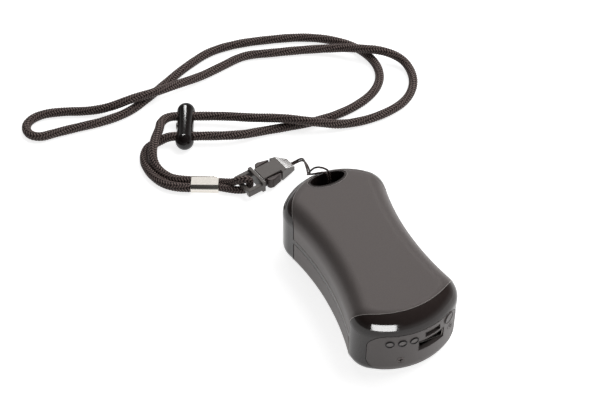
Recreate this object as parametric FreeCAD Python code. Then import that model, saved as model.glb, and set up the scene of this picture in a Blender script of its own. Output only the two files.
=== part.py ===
import FreeCAD, Part
import math
import os

# Rechargeable hand warmer with its neck lanyard. Millimetres.
# X runs across the case, Y along it (the lanyard hole is at +Y, the sockets at -Y),
# Z up through its thickness. The case lies on its rear cover at Z = 0.

V = FreeCAD.Vector

# Case outline, an hourglass of tangent arcs
LENGTH = 100.0
END_WIDTH = 50.0
WAIST_INSET = 4.0
WAIST_WIDTH = END_WIDTH - 2 * WAIST_INSET
THICKNESS = 35.0
HOLE_END_RADIUS = 30.0
SOCKET_END_RADIUS = 34.0
CORNER_RADIUS = 11.5
FRONT_ROUNDING = 9.0
REAR_ROUNDING = 7.0
WALL = 2.0

# Largest distance at which an edge counts as lying in a plane
TOUCH = 1e-5

# Share of the shorter run that a cord's arc takes up at a bend
ARC_SHARE = 0.45

# Covers and the glossy frame between them
SEAM_HEIGHT = THICKNESS / 2
STRIP_HEIGHT = 2.0
SEAM_GAP = 0.25
COVER_TOP_RADIUS = 24.3
COVER_TOP_MARGIN = 4.2
COVER_SMILE_RADIUS = 36.0
COVER_SMILE_MARGIN = 7.0
SMILE_SIDE_SHARE = 0.9

# Lanyard hole
HOLE_LENGTH = 17.0
HOLE_WIDTH = 7.8
HOLE_FROM_END = 9.5
EYELET_WALL = 1.0
FIT_GAP = 0.1

# End plate with its lights, screws, sockets and button, spread over its width
PLATE_INSET = 3.5
PLATE_WIDTH = END_WIDTH - 2 * PLATE_INSET
PLATE_HEIGHT = 23.5
PLATE_CORNER = 7.5
PLATE_DEPTH = 14.0
PLATE_CENTRE_HEIGHT = 15.5
LIGHT_RADIUS = 1.8
LIGHT_PITCH = 0.121 * PLATE_WIDTH
LIGHT_FIRST_X = -0.302 * PLATE_WIDTH
LIGHT_COUNT = 3
LIGHT_HEIGHT = 21.9
LIGHT_PROUD = 0.1
LED_WIDTH = 2.4
LED_DEPTH = 1.2
LED_HEIGHT = 0.9
LOW_SCREW_X = -0.186 * PLATE_WIDTH
LOW_SCREW_HEIGHT = 10.5
SIDE_SCREW_X = 0.412 * PLATE_WIDTH
SIDE_SCREW_HEIGHT = 16.0
SCREW_PLACES = ((LOW_SCREW_X, LOW_SCREW_HEIGHT), (SIDE_SCREW_X, SIDE_SCREW_HEIGHT))
SCREW_HEAD_RADIUS = 1.8
SCREW_HEAD_HEIGHT = 1.1
SCREW_RADIUS = 1.0
SCREW_LENGTH = 5.4
SCREW_SLOT_WIDTH = 0.5
SCREW_SLOT_LENGTH = 2.2
SCREW_SLOT_DEPTH = 0.6
BOSS_WIDTH = 3.6
BOSS_DEPTH = 3.2
BOSS_COVER = 2.2
BUTTON_X = 0.368 * PLATE_WIDTH
BUTTON_HEIGHT = 23.6
BUTTON_RADIUS = 3.0
BUTTON_PROUD = 0.3
BUTTON_TRAVEL = 0.5
BUTTON_FLANGE_RADIUS = 3.7
BUTTON_FLANGE = 0.9
BUTTON_STEM_RADIUS = 1.0
BUTTON_STEM = 0.6
BUTTON_GAP = 0.15

# Circuit board and what stands on it
SOCKET_END_Y = -LENGTH / 2
BOARD_BOTTOM = 20.0
BOARD_THICK = 1.6
BOARD_DEPTH = 17.0
BOARD_BACK_Y = SOCKET_END_Y + BOARD_DEPTH
BOARD_EDGE_GAP = 0.7
USB_A_FROM_SCREW = 11.3
USB_A_X = SIDE_SCREW_X - USB_A_FROM_SCREW
USB_A_WIDTH = 13.2
USB_A_HEIGHT = 5.9
USB_A_DEPTH = 12.6
USB_A_SETBACK = 3.2
USB_SHEET = 0.35
USB_A_TONGUE_WIDTH = 11.1
USB_A_TONGUE_THICK = 1.9
TONGUE_SETBACK = 0.9
USB_BASE = 1.2
MICRO_OFFSET = 0.2
MICRO_X = USB_A_X + MICRO_OFFSET
MICRO_WIDTH = 7.6
MICRO_HEIGHT = 2.8
MICRO_DEPTH = 5.6
MICRO_SETBACK = 3.4
MICRO_TONGUE_WIDTH = 3.7
MICRO_TONGUE_THICK = 0.65
SWITCH_WIDTH = 4.5
SWITCH_DEPTH = 2.2
SWITCH_HEIGHT = 3.8
SWITCH_CLEAR = 0.1
COIL_SIZE = 5.6
COIL_THICK = 3.0
COIL_FROM_SIDE = 7.8
COIL_X = COIL_FROM_SIDE - END_WIDTH / 2
COIL_FROM_END = 13.2
BOARD_SCREW_FROM_SIDE = 13.4
BOARD_SCREW_X = BOARD_SCREW_FROM_SIDE - END_WIDTH / 2
BOARD_SCREW_FROM_END = 14.0
CHIP_SIZE = 5.0
CHIP_THICK = 1.0
CHIP_FROM_SCREW = 6.6
CHIP_X = BOARD_SCREW_X + CHIP_FROM_SCREW
CHIP_FROM_END = 11.6
BOARD_SCREW_Y = SOCKET_END_Y + BOARD_SCREW_FROM_END
BOARD_POST_RADIUS = 2.4
BOARD_SCREW_LENGTH = 5.0

# Two round lithium cells that fill the waist, their collars and strips
CELL_SIDE_GAP = 0.6
CELL_GAP = 0.4
CELL_RADIUS = (WAIST_WIDTH - 2 * WALL - 2 * CELL_SIDE_GAP - CELL_GAP) / 4
CELL_SPACING = 2 * CELL_RADIUS + CELL_GAP
CELL_HEIGHT = SEAM_HEIGHT
CELL_FROM_END = 18.3
CELL_FRONT_Y = SOCKET_END_Y + CELL_FROM_END
CELL_BACK_FROM_END = 16.7
CELL_BACK_Y = LENGTH / 2 - CELL_BACK_FROM_END
CELL_EDGE = 0.6
COLLAR_WALL = 1.4
COLLAR_THICK = 5.0
COLLAR_RIM = 1.9
COLLAR_FROM_END = 6.0
FRONT_COLLAR_Y = CELL_FRONT_Y + COLLAR_FROM_END
BACK_COLLAR_Y = CELL_BACK_Y - COLLAR_FROM_END - COLLAR_THICK
STRIP_OVERLAP = 3.2
STRIP_WIDTH = CELL_SPACING + 2 * STRIP_OVERLAP
STRIP_TALL = 7.0
STRIP_SHEET = 0.3
TAB_WIDTH = 6.0
TAB_REACH = 2.4

# Heating films under both covers, foam between them and the cells
FILM_INSET = 10.0
FILM_WIDTH = WAIST_WIDTH - 2 * FILM_INSET
FILM_FROM_CELL = 10.2
FILM_FRONT_Y = CELL_FRONT_Y + FILM_FROM_CELL
FILM_BACK_FROM_CELL = 11.8
FILM_BACK_Y = CELL_BACK_Y - FILM_BACK_FROM_CELL
FILM_THICK = 0.3
PAD_GAP = 3.0
PAD_MARGIN = 0.5
PAD_WIDTH = (FILM_WIDTH - PAD_GAP - 2 * PAD_MARGIN) / 2
PAD_FROM_COLLAR = 3.7
PAD_FRONT_Y = FRONT_COLLAR_Y + COLLAR_THICK + PAD_FROM_COLLAR
PAD_BACK_FROM_COLLAR = 5.3
PAD_BACK_Y = BACK_COLLAR_Y - PAD_BACK_FROM_COLLAR
SENSOR_RADIUS = 0.8
SENSOR_LENGTH = 3.0
SENSOR_FROM_FILM_END = 1.9
LEAD_RADIUS = 0.45
LEAD_FROM_SOCKET = 2.0
LEAD_PITCH = 2.2
LEAD_FIRST_X = USB_A_X - USB_A_WIDTH / 2 - LEAD_FROM_SOCKET
LEAD_XS = (LEAD_FIRST_X, LEAD_FIRST_X - LEAD_PITCH)
LEAD_FROM_END = 14.8
BATTERY_LEAD_RADIUS = 0.6
BATTERY_LEAD_ABOVE_CELL = 3.0
BATTERY_LEAD_FROM_END = 16.0

# Neck cord: one cord whose two ends meet in a crimped ferrule
CORD_RADIUS = 2.3
FERRULE_LENGTH = 13.6
FERRULE_WIDTH = 9.4
FERRULE_HEIGHT = 5.2
FERRULE_START = V(-47.5, 92.9, 2.6)
FERRULE_HEADING = -26.2
SLIDER_LENGTH = 30.2
SLIDER_RADIUS = 4.6
SLIDER_WAIST = 4.15
SLIDER_CENTRE = V(-35.6, 129.4, 4.8)
SLIDER_HEADING = -24.0
SLIDER_BORE_SPACING = 14.4
SLIDER_BORE_GAP = 0.3

# Side-release buckle and the string that ties it to the case
BUCKLE_START = V(-25.9, 79.0, 4.7)
BUCKLE_HEADING = 10.9
BAR_THICK = 2.0
PLUG_WIDTH = 13.0
PLUG_ARM = 2.2
PLUG_ARM_HEIGHT = 3.6
PLUG_LOOP = 7.0
PLUG_FLANGE = 1.8
PLUG_HEIGHT = 6.2
GUIDE_WIDTH = 1.8
GUIDE_LENGTH = 9.0
SOCKET_GAP = 0.3
SOCKET_LENGTH = 19.0
SOCKET_WIDTH = 11.4
SOCKET_WALL = 1.2
SOCKET_TAPER = 6.0
SOCKET_TIP_WIDTH = 6.6
SOCKET_TIP_HEIGHT = 2.6
SOCKET_PLATE_WIDTH = 8.2
SOCKET_SIDE_START = 10.1
SOCKET_DEPTH = 10.7
PRONG_WIDTH = 1.5
PRONG_INSET = 4.1
PRONG_LENGTH = 9.6
PRONG_HEIGHT = 3.0
PRONG_ROOT_GAP = 0.2
WING_START = 1.7
WING_HEIGHT = 5.4
WING_GAP_FRONT = 0.5
WING_GAP_BACK = 1.1
WING_BITE = 0.3
# The wing's outline, as steps along it from its front and outwards from the arm
WING_OUTLINE = [(0.0, 1.6), (0.7, 2.7), (2.3, 3.1), (4.8, 2.4), (7.9, 1.6)]
STRING_RADIUS = 0.5
BIGHT_RADIUS = 1.7
BIGHT_SLACK = 0.8
BIGHT_STANDOFF = 3.74
BIGHT_NARROWING = 0.4

# Route of the neck cord, chosen by eye: from the ferrule, through the slider's far bore,
# round the far bend, along the top to the left end, back underneath and home again
CORD_POINTS = [
    (-46.485, 95.076, 2.6), (-53.619, 98.586, 2.6), (-58.0, 105.4, 3.2), (-59.3, 112.0, 4.6),
    (-57.6, 118.2, 7.3), (-53.6, 124.2, 7.9), (-49.2, 129.6, 7.9), (-46.3, 136.1, 6.0),
    (-40.528, 139.476, 4.8), (-16.228, 128.656, 4.8), (-2.6, 119.4, 5.9), (9.2, 111.8, 7.6),
    (16.8, 106.6, 7.6), (25.8, 102.6, 5.8), (36.0, 99.4, 2.8), (49.0, 97.2, 2.3),
    (62.0, 97.6, 2.3), (75.0, 101.6, 2.3), (84.6, 111.0, 2.3), (88.2, 122.4, 2.6),
    (86.2, 130.6, 4.6), (78.4, 136.4, 7.6), (70.2, 141.6, 7.6), (62.6, 149.4, 5.0),
    (52.0, 156.2, 2.8), (40.0, 160.8, 2.3), (27.0, 164.6, 2.3), (13.0, 169.0, 2.3),
    (-1.0, 165.6, 2.3), (-13.0, 162.6, 2.9), (-27.4, 159.6, 5.2), (-43.2, 156.4, 7.6),
    (-54.4, 156.8, 7.6), (-64.8, 158.4, 4.8), (-75.0, 162.6, 2.4), (-88.0, 168.4, 2.3),
    (-98.5, 170.8, 2.3), (-106.4, 168.0, 2.3), (-108.8, 161.0, 2.3), (-104.4, 155.0, 2.3),
    (-96.0, 154.8, 2.3), (-84.0, 153.8, 2.3), (-70.0, 152.2, 2.3), (-57.0, 153.4, 2.3),
    (-45.0, 158.8, 2.3), (-31.0, 166.4, 2.3), (-16.0, 174.2, 2.3), (-1.0, 179.6, 2.3),
    (15.0, 178.8, 2.3), (31.0, 174.8, 2.3), (47.0, 169.6, 2.3), (60.0, 161.6, 2.3),
    (69.6, 150.8, 2.3), (73.8, 138.6, 2.3), (72.6, 126.4, 2.3), (66.6, 117.2, 2.3),
    (56.0, 110.6, 2.3), (42.0, 107.2, 2.3), (27.0, 107.0, 2.3), (12.0, 109.6, 2.3),
    (-2.0, 112.4, 2.4), (-14.319, 112.044, 4.8), (-45.928, 126.117, 4.8), (-52.0, 127.0, 2.4),
    (-58.6, 125.0, 2.3), (-63.0, 117.8, 2.3), (-63.6, 108.6, 2.3), (-61.2, 100.5, 2.3),
    (-55.738, 94.278, 2.6), (-48.605, 90.768, 2.6),
]

# Route of the thin string: from the buckle's tip up to the rim and down into the hole
STRING_POINTS = [
    (1.693, 84.314, 2.9), (5.3, 85.009, 2.9), (6.9, 82.6, 6.0), (5.6, 76.8, 10.5),
    (3.2, 69.6, 15.5), (0.4, 61.6, 20.6), (-2.6, 54.6, 25.6), (-4.6, 51.2, 30.2),
    (-4.2, 48.4, 33.8), (-1.6, 46.0, 36.0), (1.4, 43.4, 36.4), (2.2, 42.9, 31.4),
    (2.2, 43.1, 26.6),
]


def quarter_points(half_length, half_width, half_waist, end_radius, corner_radius):
    """Start, middle and end points of the three arcs from the end's middle to the waist."""
    corner_x = half_width - corner_radius
    end_y = half_length - end_radius
    corner_y = end_y + math.sqrt((end_radius - corner_radius) ** 2 - corner_x ** 2)
    reach = half_waist - corner_x
    waist_radius = (reach ** 2 + corner_y ** 2 - corner_radius ** 2) / (2 * (corner_radius - reach))
    waist_x = half_waist + waist_radius
    shoulder = math.atan2(corner_y - end_y, corner_x)
    hip = math.atan2(-corner_y, waist_x - corner_x)

    def arc(cx, cy, radius, start, stop):
        angles = (start, (start + stop) / 2, stop)
        return [(cx + radius * math.cos(a), cy + radius * math.sin(a)) for a in angles]

    return [
        arc(0.0, end_y, end_radius, math.pi / 2, shoulder),
        arc(corner_x, corner_y, corner_radius, shoulder, hip),
        arc(waist_x, 0.0, waist_radius, math.pi + hip, math.pi),
    ]


def outline_face(inset, z):
    """The case outline, drawn in by an inset, as a face at height z."""
    edges = []
    for end_radius, y_sign in ((HOLE_END_RADIUS, 1), (SOCKET_END_RADIUS, -1)):
        arcs = quarter_points(
            LENGTH / 2 - inset,
            END_WIDTH / 2 - inset,
            WAIST_WIDTH / 2 - inset,
            end_radius - inset,
            CORNER_RADIUS - inset,
        )
        for x_sign in (1, -1):
            for points in arcs:
                edges.append(Part.Arc(*[V(x_sign * x, y_sign * y, z) for x, y in points]).toShape())
    return Part.Face(Part.Wire(Part.__sortEdges__(edges)))


def case_block(inset):
    """A solid of the case outline with both rims rounded, drawn in by an inset all round."""
    block = outline_face(inset, inset).extrude(V(0, 0, THICKNESS - 2 * inset))

    top = [e for e in block.Edges if abs(e.BoundBox.ZMin - THICKNESS + inset) < TOUCH]
    rounded = block.makeFillet(FRONT_ROUNDING - inset, top)
    bottom = [e for e in rounded.Edges if abs(e.BoundBox.ZMax - inset) < TOUCH]
    return rounded.makeFillet(REAR_ROUNDING - inset, bottom)


def box(x0, x1, y0, y1, z0, z1):
    return Part.makeBox(x1 - x0, y1 - y0, z1 - z0, V(x0, y0, z0))


def cover_region(gap, z0, z1):
    """Prism over the plan of a cover: round at the hole end, a smile at the socket end."""
    side = END_WIDTH
    top_y = LENGTH / 2 - COVER_TOP_MARGIN - COVER_TOP_RADIUS
    top_radius = COVER_TOP_RADIUS - gap
    smile_low = -LENGTH / 2 + COVER_SMILE_MARGIN + gap
    smile_y = smile_low + COVER_SMILE_RADIUS
    smile_x = COVER_SMILE_RADIUS * SMILE_SIDE_SHARE
    smile_end = smile_y - math.sqrt(COVER_SMILE_RADIUS ** 2 - smile_x ** 2)
    left = V(-side, top_y, z0)
    start = V(-top_radius, top_y, z0)
    crown = V(0, top_y + top_radius, z0)
    stop = V(top_radius, top_y, z0)
    right = V(side, top_y, z0)
    low_right = V(side, smile_end, z0)
    smile_right = V(smile_x, smile_end, z0)
    smile = V(0, smile_low, z0)
    smile_left = V(-smile_x, smile_end, z0)
    low_left = V(-side, smile_end, z0)
    edges = [
        Part.LineSegment(left, start).toShape(),
        Part.Arc(start, crown, stop).toShape(),
        Part.LineSegment(stop, right).toShape(),
        Part.LineSegment(right, low_right).toShape(),
        Part.LineSegment(low_right, smile_right).toShape(),
        Part.Arc(smile_right, smile, smile_left).toShape(),
        Part.LineSegment(smile_left, low_left).toShape(),
        Part.LineSegment(low_left, left).toShape(),
    ]
    return Part.Face(Part.Wire(edges)).extrude(V(0, 0, z1 - z0))


def oval_prism(half_length, half_width):
    """Upright oval column at the lanyard hole, longer than the case is thick."""
    centre = V(0, LENGTH / 2 - HOLE_FROM_END, -THICKNESS)
    curve = Part.Ellipse(centre, half_length, half_width).toShape()
    return Part.Face(Part.Wire(curve)).extrude(V(0, 0, 3 * THICKNESS))


def plate_prism(gap):
    """Rounded column along Y through the socket end, the outline of the end plate."""
    wide = PLATE_WIDTH / 2 - gap
    tall = PLATE_HEIGHT / 2 - gap
    middle = PLATE_CENTRE_HEIGHT
    column = box(-wide, wide, -LENGTH, PLATE_DEPTH - LENGTH / 2, middle - tall, middle + tall)
    corners = [e for e in column.Edges if e.BoundBox.YLength > PLATE_DEPTH]
    return column.makeFillet(PLATE_CORNER - gap, corners)


def on_end(shape, x, z):
    """Stands a shape on the curved socket end at x and z, its own Z axis pointing outwards."""
    angle = math.asin(x / SOCKET_END_RADIUS)
    centre_y = -LENGTH / 2 + SOCKET_END_RADIUS
    point = V(x, centre_y - SOCKET_END_RADIUS * math.cos(angle), z)
    along = V(math.cos(angle), math.sin(angle), 0)
    out = V(math.sin(angle), -math.cos(angle), 0)
    placed = shape.copy()
    placed.Placement = FreeCAD.Placement(point, FreeCAD.Rotation(along, V(0, 0, 1), out, "ZYX"))
    return placed


def rod(radius, low, high):
    return Part.makeCylinder(radius, high - low, V(0, 0, low))


def screw(length):
    """Pan-head screw along Z, its head's top at zero, with a cross recess."""
    body = rod(SCREW_HEAD_RADIUS, -SCREW_HEAD_HEIGHT, 0).fuse(rod(SCREW_RADIUS, -length, -SCREW_HEAD_HEIGHT))
    half = SCREW_SLOT_LENGTH / 2
    thin = SCREW_SLOT_WIDTH / 2
    for hx, hy in ((half, thin), (thin, half)):
        body = body.cut(box(-hx, hx, -hy, hy, -SCREW_SLOT_DEPTH, SCREW_SLOT_DEPTH))
    return body.removeSplitter()


def heading_placement(origin, heading):
    return FreeCAD.Placement(origin, FreeCAD.Rotation(V(0, 0, 1), heading))


def cord_tube(points, radius, name):
    """Round tube along straight runs joined by tangent arcs, each as large as its runs allow."""
    nodes = [V(*p) for p in points]
    edges = []
    start = nodes[0]
    tightest = None
    for before, here, after in zip(nodes, nodes[1:], nodes[2:]):
        into = (here - before).normalize()
        out = (after - here).normalize()
        turn = into.getAngle(out)
        tangent = ARC_SHARE * min((here - before).Length, (after - here).Length)
        bend = tangent / math.tan(turn / 2)
        tightest = bend if tightest is None else min(tightest, bend)
        first = here - into * tangent
        last = here + out * tangent
        inward = (out - into).normalize()
        middle = here + inward * (bend / math.cos(turn / 2) - bend)
        edges.append(Part.LineSegment(start, first).toShape())
        edges.append(Part.Arc(first, middle, last).toShape())
        start = last
    edges.append(Part.LineSegment(start, nodes[-1]).toShape())
    path = Part.Wire(edges)
    ring = Part.Wire(Part.Circle(nodes[0], nodes[1] - nodes[0], radius).toShape())
    tube = path.makePipeShell([ring], True, False)
    expected = math.pi * radius ** 2 * path.Length
    print("%s: length %.1f, tightest radius %.1f, volume ratio %.4f"
          % (name, path.Length, tightest, tube.Volume / expected))
    return tube


def save(name, shape):
    if not shape.isValid() or shape.Volume <= 0:
        print("check", name, shape.isValid(), shape.Volume)
    shape.exportStep("parts/%s.step" % name)


def make_case():
    """Covers, frame, end plate and eyelet, cut from one rounded shell."""
    outer = case_block(0.0)
    shell = outer.cut(case_block(WALL))
    far = THICKNESS + WALL
    high = SEAM_HEIGHT + STRIP_HEIGHT / 2
    low = SEAM_HEIGHT - STRIP_HEIGHT / 2
    eyelet_length = HOLE_LENGTH / 2 + EYELET_WALL
    eyelet_width = HOLE_WIDTH / 2 + EYELET_WALL
    eyelet_hole = oval_prism(eyelet_length + FIT_GAP, eyelet_width + FIT_GAP)
    front = shell.common(cover_region(SEAM_GAP, high + SEAM_GAP, far)).cut(eyelet_hole)
    rear = shell.common(cover_region(SEAM_GAP, -WALL, low - SEAM_GAP)).cut(eyelet_hole)
    frame = shell.cut(cover_region(0.0, high, far)).cut(cover_region(0.0, -WALL, low))
    frame = frame.cut(plate_prism(0.0))
    plate = shell.common(plate_prism(SEAM_GAP))
    eyelet = oval_prism(eyelet_length, eyelet_width).cut(oval_prism(HOLE_LENGTH / 2, HOLE_WIDTH / 2))
    eyelet = eyelet.common(outer)
    return front, rear, frame, plate, eyelet, outer


def make_bosses(outer):
    """Posts inside the frame's socket end that take the end plate's screws."""
    inside = case_block(WALL / 2)
    plate_zone = outer.cut(case_block(WALL + FIT_GAP)).common(plate_prism(-FIT_GAP))
    cover_zone = cover_region(-SEAM_GAP, -WALL, THICKNESS)
    half = BOSS_WIDTH / 2
    front = -WALL - FIT_GAP
    posts = []
    for x, z in SCREW_PLACES:
        post = on_end(box(-half, half, -z, BOSS_COVER, front - BOSS_DEPTH, front), x, z)
        pilot = on_end(rod(SCREW_RADIUS, -LENGTH / 4, WALL), x, z)
        posts.append(post.common(inside).cut(plate_zone).cut(cover_zone).cut(pilot))
    return posts


def make_board_post():
    """Post on the rear cover that carries the board and takes its screw."""
    post = rod(BOARD_POST_RADIUS, WALL / 2, BOARD_BOTTOM)
    post = post.cut(rod(SCREW_RADIUS, BOARD_BOTTOM - BOARD_SCREW_LENGTH, BOARD_BOTTOM))
    post.translate(V(BOARD_SCREW_X, BOARD_SCREW_Y, 0))
    return post


def usb_shell(x, z0, front_y, width, height, depth):
    """Bent sheet sleeve of a socket, open at the front."""
    outer = box(x - width / 2, x + width / 2, front_y, front_y + depth, z0, z0 + height)
    inner = box(
        x - width / 2 + USB_SHEET,
        x + width / 2 - USB_SHEET,
        front_y,
        front_y + depth,
        z0 + USB_SHEET,
        z0 + height - USB_SHEET,
    )
    return outer.cut(inner)


def usb_core(x, z0, front_y, width, height, depth, tongue_width, tongue_thick, setback):
    """Plastic base with the contact tongue standing out of it."""
    half = width / 2 - USB_SHEET - FIT_GAP / 2
    low = z0 + USB_SHEET + FIT_GAP / 2
    high = z0 + height - USB_SHEET - FIT_GAP / 2
    back = front_y + depth
    base = box(x - half, x + half, back - USB_BASE, back, low, high)
    middle = (low + high) / 2
    tongue = box(
        x - tongue_width / 2,
        x + tongue_width / 2,
        front_y + setback,
        back - USB_BASE,
        middle - tongue_thick / 2,
        middle + tongue_thick / 2,
    )
    return base.fuse(tongue).removeSplitter()


def make_board():
    """Circuit board that follows the socket end, with room for the button."""
    board = outline_face(WALL + BOARD_EDGE_GAP, BOARD_BOTTOM).extrude(V(0, 0, BOARD_THICK))
    board = board.common(box(-END_WIDTH, END_WIDTH, -LENGTH, BOARD_BACK_Y, 0, THICKNESS))
    reach = BUTTON_FLANGE_RADIUS + 2 * BUTTON_GAP
    depth = WALL + 2 * BUTTON_GAP + BUTTON_FLANGE + BUTTON_STEM + BUTTON_TRAVEL
    notch = box(-reach, reach, -THICKNESS, THICKNESS, -depth, WALL)
    board = board.cut(on_end(notch, BUTTON_X, BUTTON_HEIGHT))
    foot = V(BOARD_SCREW_X, BOARD_SCREW_Y, 0)
    return board.cut(Part.makeCylinder(SCREW_RADIUS + FIT_GAP, THICKNESS, foot))


def make_button():
    """Round cap, its flange behind the end plate and the stem that meets the switch."""
    flange_top = -WALL - 2 * BUTTON_GAP
    cap = rod(BUTTON_RADIUS, flange_top, BUTTON_PROUD)
    flange = rod(BUTTON_FLANGE_RADIUS, flange_top - BUTTON_FLANGE, flange_top)
    stem_top = flange_top - BUTTON_FLANGE
    stem = rod(BUTTON_STEM_RADIUS, stem_top - BUTTON_STEM, stem_top)
    return cap.fuse(flange).fuse(stem).removeSplitter()


def make_switch():
    front = -WALL - 2 * BUTTON_GAP - BUTTON_FLANGE - BUTTON_STEM - BUTTON_TRAVEL - SWITCH_CLEAR
    bottom = BOARD_BOTTOM + BOARD_THICK - BUTTON_HEIGHT
    half = SWITCH_WIDTH / 2
    return box(-half, half, bottom, bottom + SWITCH_HEIGHT, front - SWITCH_DEPTH, front)


def make_collar(y0):
    """Plate with two round pockets that hold the cells side by side."""
    half = CELL_SPACING / 2 + CELL_RADIUS + COLLAR_WALL
    tall = CELL_RADIUS + COLLAR_RIM
    collar = box(-half, half, y0, y0 + COLLAR_THICK, CELL_HEIGHT - tall, CELL_HEIGHT + tall)
    for x in (-CELL_SPACING / 2, CELL_SPACING / 2):
        pocket = Part.makeCylinder(CELL_RADIUS + FIT_GAP, COLLAR_THICK, V(x, y0, CELL_HEIGHT), V(0, 1, 0))
        collar = collar.cut(pocket)
    return collar


def make_cell(x):
    front = V(x, CELL_FRONT_Y, CELL_HEIGHT)
    cell = Part.makeCylinder(CELL_RADIUS, CELL_BACK_Y - CELL_FRONT_Y, front, V(0, 1, 0))
    rims = [e for e in cell.Edges if e.Curve.TypeId == "Part::GeomCircle"]
    return cell.makeFillet(CELL_EDGE, rims)


def make_plug():
    """Buckle half that carries the cord: end bar, arms, flange and centre guide."""
    half = PLUG_WIDTH / 2
    bar = BAR_THICK / 2
    loop = box(-bar, bar, -half, half, -bar, bar)
    arm_high = PLUG_ARM_HEIGHT / 2
    for y in (-half, half - PLUG_ARM):
        loop = loop.fuse(box(-bar, PLUG_LOOP, y, y + PLUG_ARM, -arm_high, arm_high))
    high = PLUG_HEIGHT / 2
    flange = box(PLUG_LOOP, PLUG_LOOP + PLUG_FLANGE, -half, half, -high, high)
    start = PLUG_LOOP + PLUG_FLANGE
    tall = PRONG_HEIGHT / 2
    guide = box(start, start + GUIDE_LENGTH, -GUIDE_WIDTH / 2, GUIDE_WIDTH / 2, -tall, tall)
    return loop.fuse(flange).fuse(guide).removeSplitter()


def socket_start():
    return PLUG_LOOP + PLUG_FLANGE + SOCKET_GAP


def make_socket():
    """Buckle half that holds the string: two plates, open at the sides, and a bevelled tip."""
    start = socket_start()
    stop = start + SOCKET_LENGTH
    bend = stop - SOCKET_TAPER
    wall = start + SOCKET_SIDE_START
    half = SOCKET_WIDTH / 2
    tip = SOCKET_TIP_WIDTH / 2
    high = PLUG_HEIGHT / 2
    plan = Part.makePolygon([
        V(start, -half, -high), V(wall, -half, -high), V(stop, -tip, -high),
        V(stop, tip, -high), V(wall, half, -high), V(start, half, -high), V(start, -half, -high),
    ])
    side = Part.makePolygon([
        V(start, -half, -high), V(stop, -half, -high), V(stop, -half, SOCKET_TIP_HEIGHT - high),
        V(bend, -half, high), V(start, -half, high), V(start, -half, -high),
    ])
    body = Part.Face(plan).extrude(V(0, 0, PLUG_HEIGHT))
    body = body.common(Part.Face(side).extrude(V(0, SOCKET_WIDTH, 0)))
    inside = half - SOCKET_WALL
    tall = PRONG_HEIGHT / 2 + SOCKET_GAP
    body = body.cut(box(start, start + SOCKET_DEPTH, -inside, inside, -tall, tall))
    plate = SOCKET_PLATE_WIDTH / 2
    body = body.cut(box(start, wall, -half, -plate, -high, high))
    return body.cut(box(start, wall, plate, half, -high, high))


def slab(points, height):
    """Plate with this outline, half of its height above and half below the middle."""
    corners = [V(x, y, -height / 2) for x, y in points + points[:1]]
    return Part.Face(Part.makePolygon(corners)).extrude(V(0, 0, height))


def make_prong(side):
    """Springy arm of the plug, with a tall grip wing beside the socket's plates."""
    start = PLUG_LOOP + PLUG_FLANGE + PRONG_ROOT_GAP
    stop = start + PRONG_LENGTH
    inner = side * (PRONG_INSET - PRONG_WIDTH)
    outer = side * PRONG_INSET
    front = start + WING_START
    near = side * (PRONG_INSET + WING_GAP_FRONT)
    far = side * (PRONG_INSET + WING_GAP_BACK)
    bite = side * WING_BITE
    arm = slab([
        (start, inner), (stop, inner), (stop, far + bite), (front, near + bite), (front, outer), (start, outer),
    ], PRONG_HEIGHT)
    outline = [(front + along, side * (PRONG_INSET + out)) for along, out in WING_OUTLINE]
    wing = slab([(stop, far), (front, near)] + outline, WING_HEIGHT)
    return arm.fuse(wing).removeSplitter()


def make_slider():
    """Waisted capsule across the two cords, with a bore for each."""
    end = SLIDER_LENGTH / 2
    straight = end - SLIDER_RADIUS
    slant = SLIDER_RADIUS / math.sqrt(2)
    edges = [
        Part.Arc(V(0, -end, 0), V(slant, -straight - slant, 0), V(SLIDER_RADIUS, -straight, 0)).toShape(),
        Part.Arc(V(SLIDER_RADIUS, -straight, 0), V(SLIDER_WAIST, 0, 0), V(SLIDER_RADIUS, straight, 0)).toShape(),
        Part.Arc(V(SLIDER_RADIUS, straight, 0), V(slant, straight + slant, 0), V(0, end, 0)).toShape(),
        Part.LineSegment(V(0, end, 0), V(0, -end, 0)).toShape(),
    ]
    body = Part.Face(Part.Wire(edges)).revolve(V(0, 0, 0), V(0, 1, 0), 360)
    for y in (-SLIDER_BORE_SPACING / 2, SLIDER_BORE_SPACING / 2):
        reach = 2 * SLIDER_RADIUS
        bore = Part.makeCylinder(CORD_RADIUS + SLIDER_BORE_GAP, 2 * reach, V(-reach, y, 0), V(1, 0, 0))
        body = body.cut(bore)
    return body.removeSplitter()


def make_ferrule():
    """Crimped metal sleeve, a flat oval in section."""
    half = (FERRULE_WIDTH - FERRULE_HEIGHT) / 2
    radius = FERRULE_HEIGHT / 2
    edges = [
        Part.LineSegment(V(0, -half, radius), V(0, half, radius)).toShape(),
        Part.Arc(V(0, half, radius), V(0, half + radius, 0), V(0, half, -radius)).toShape(),
        Part.LineSegment(V(0, half, -radius), V(0, -half, -radius)).toShape(),
        Part.Arc(V(0, -half, -radius), V(0, -half - radius, 0), V(0, -half, radius)).toShape(),
    ]
    return Part.Face(Part.Wire(edges)).extrude(V(FERRULE_LENGTH, 0, 0))


def placed(shape, origin, heading):
    moved = shape.copy()
    moved.Placement = heading_placement(origin, heading)
    return moved


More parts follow.
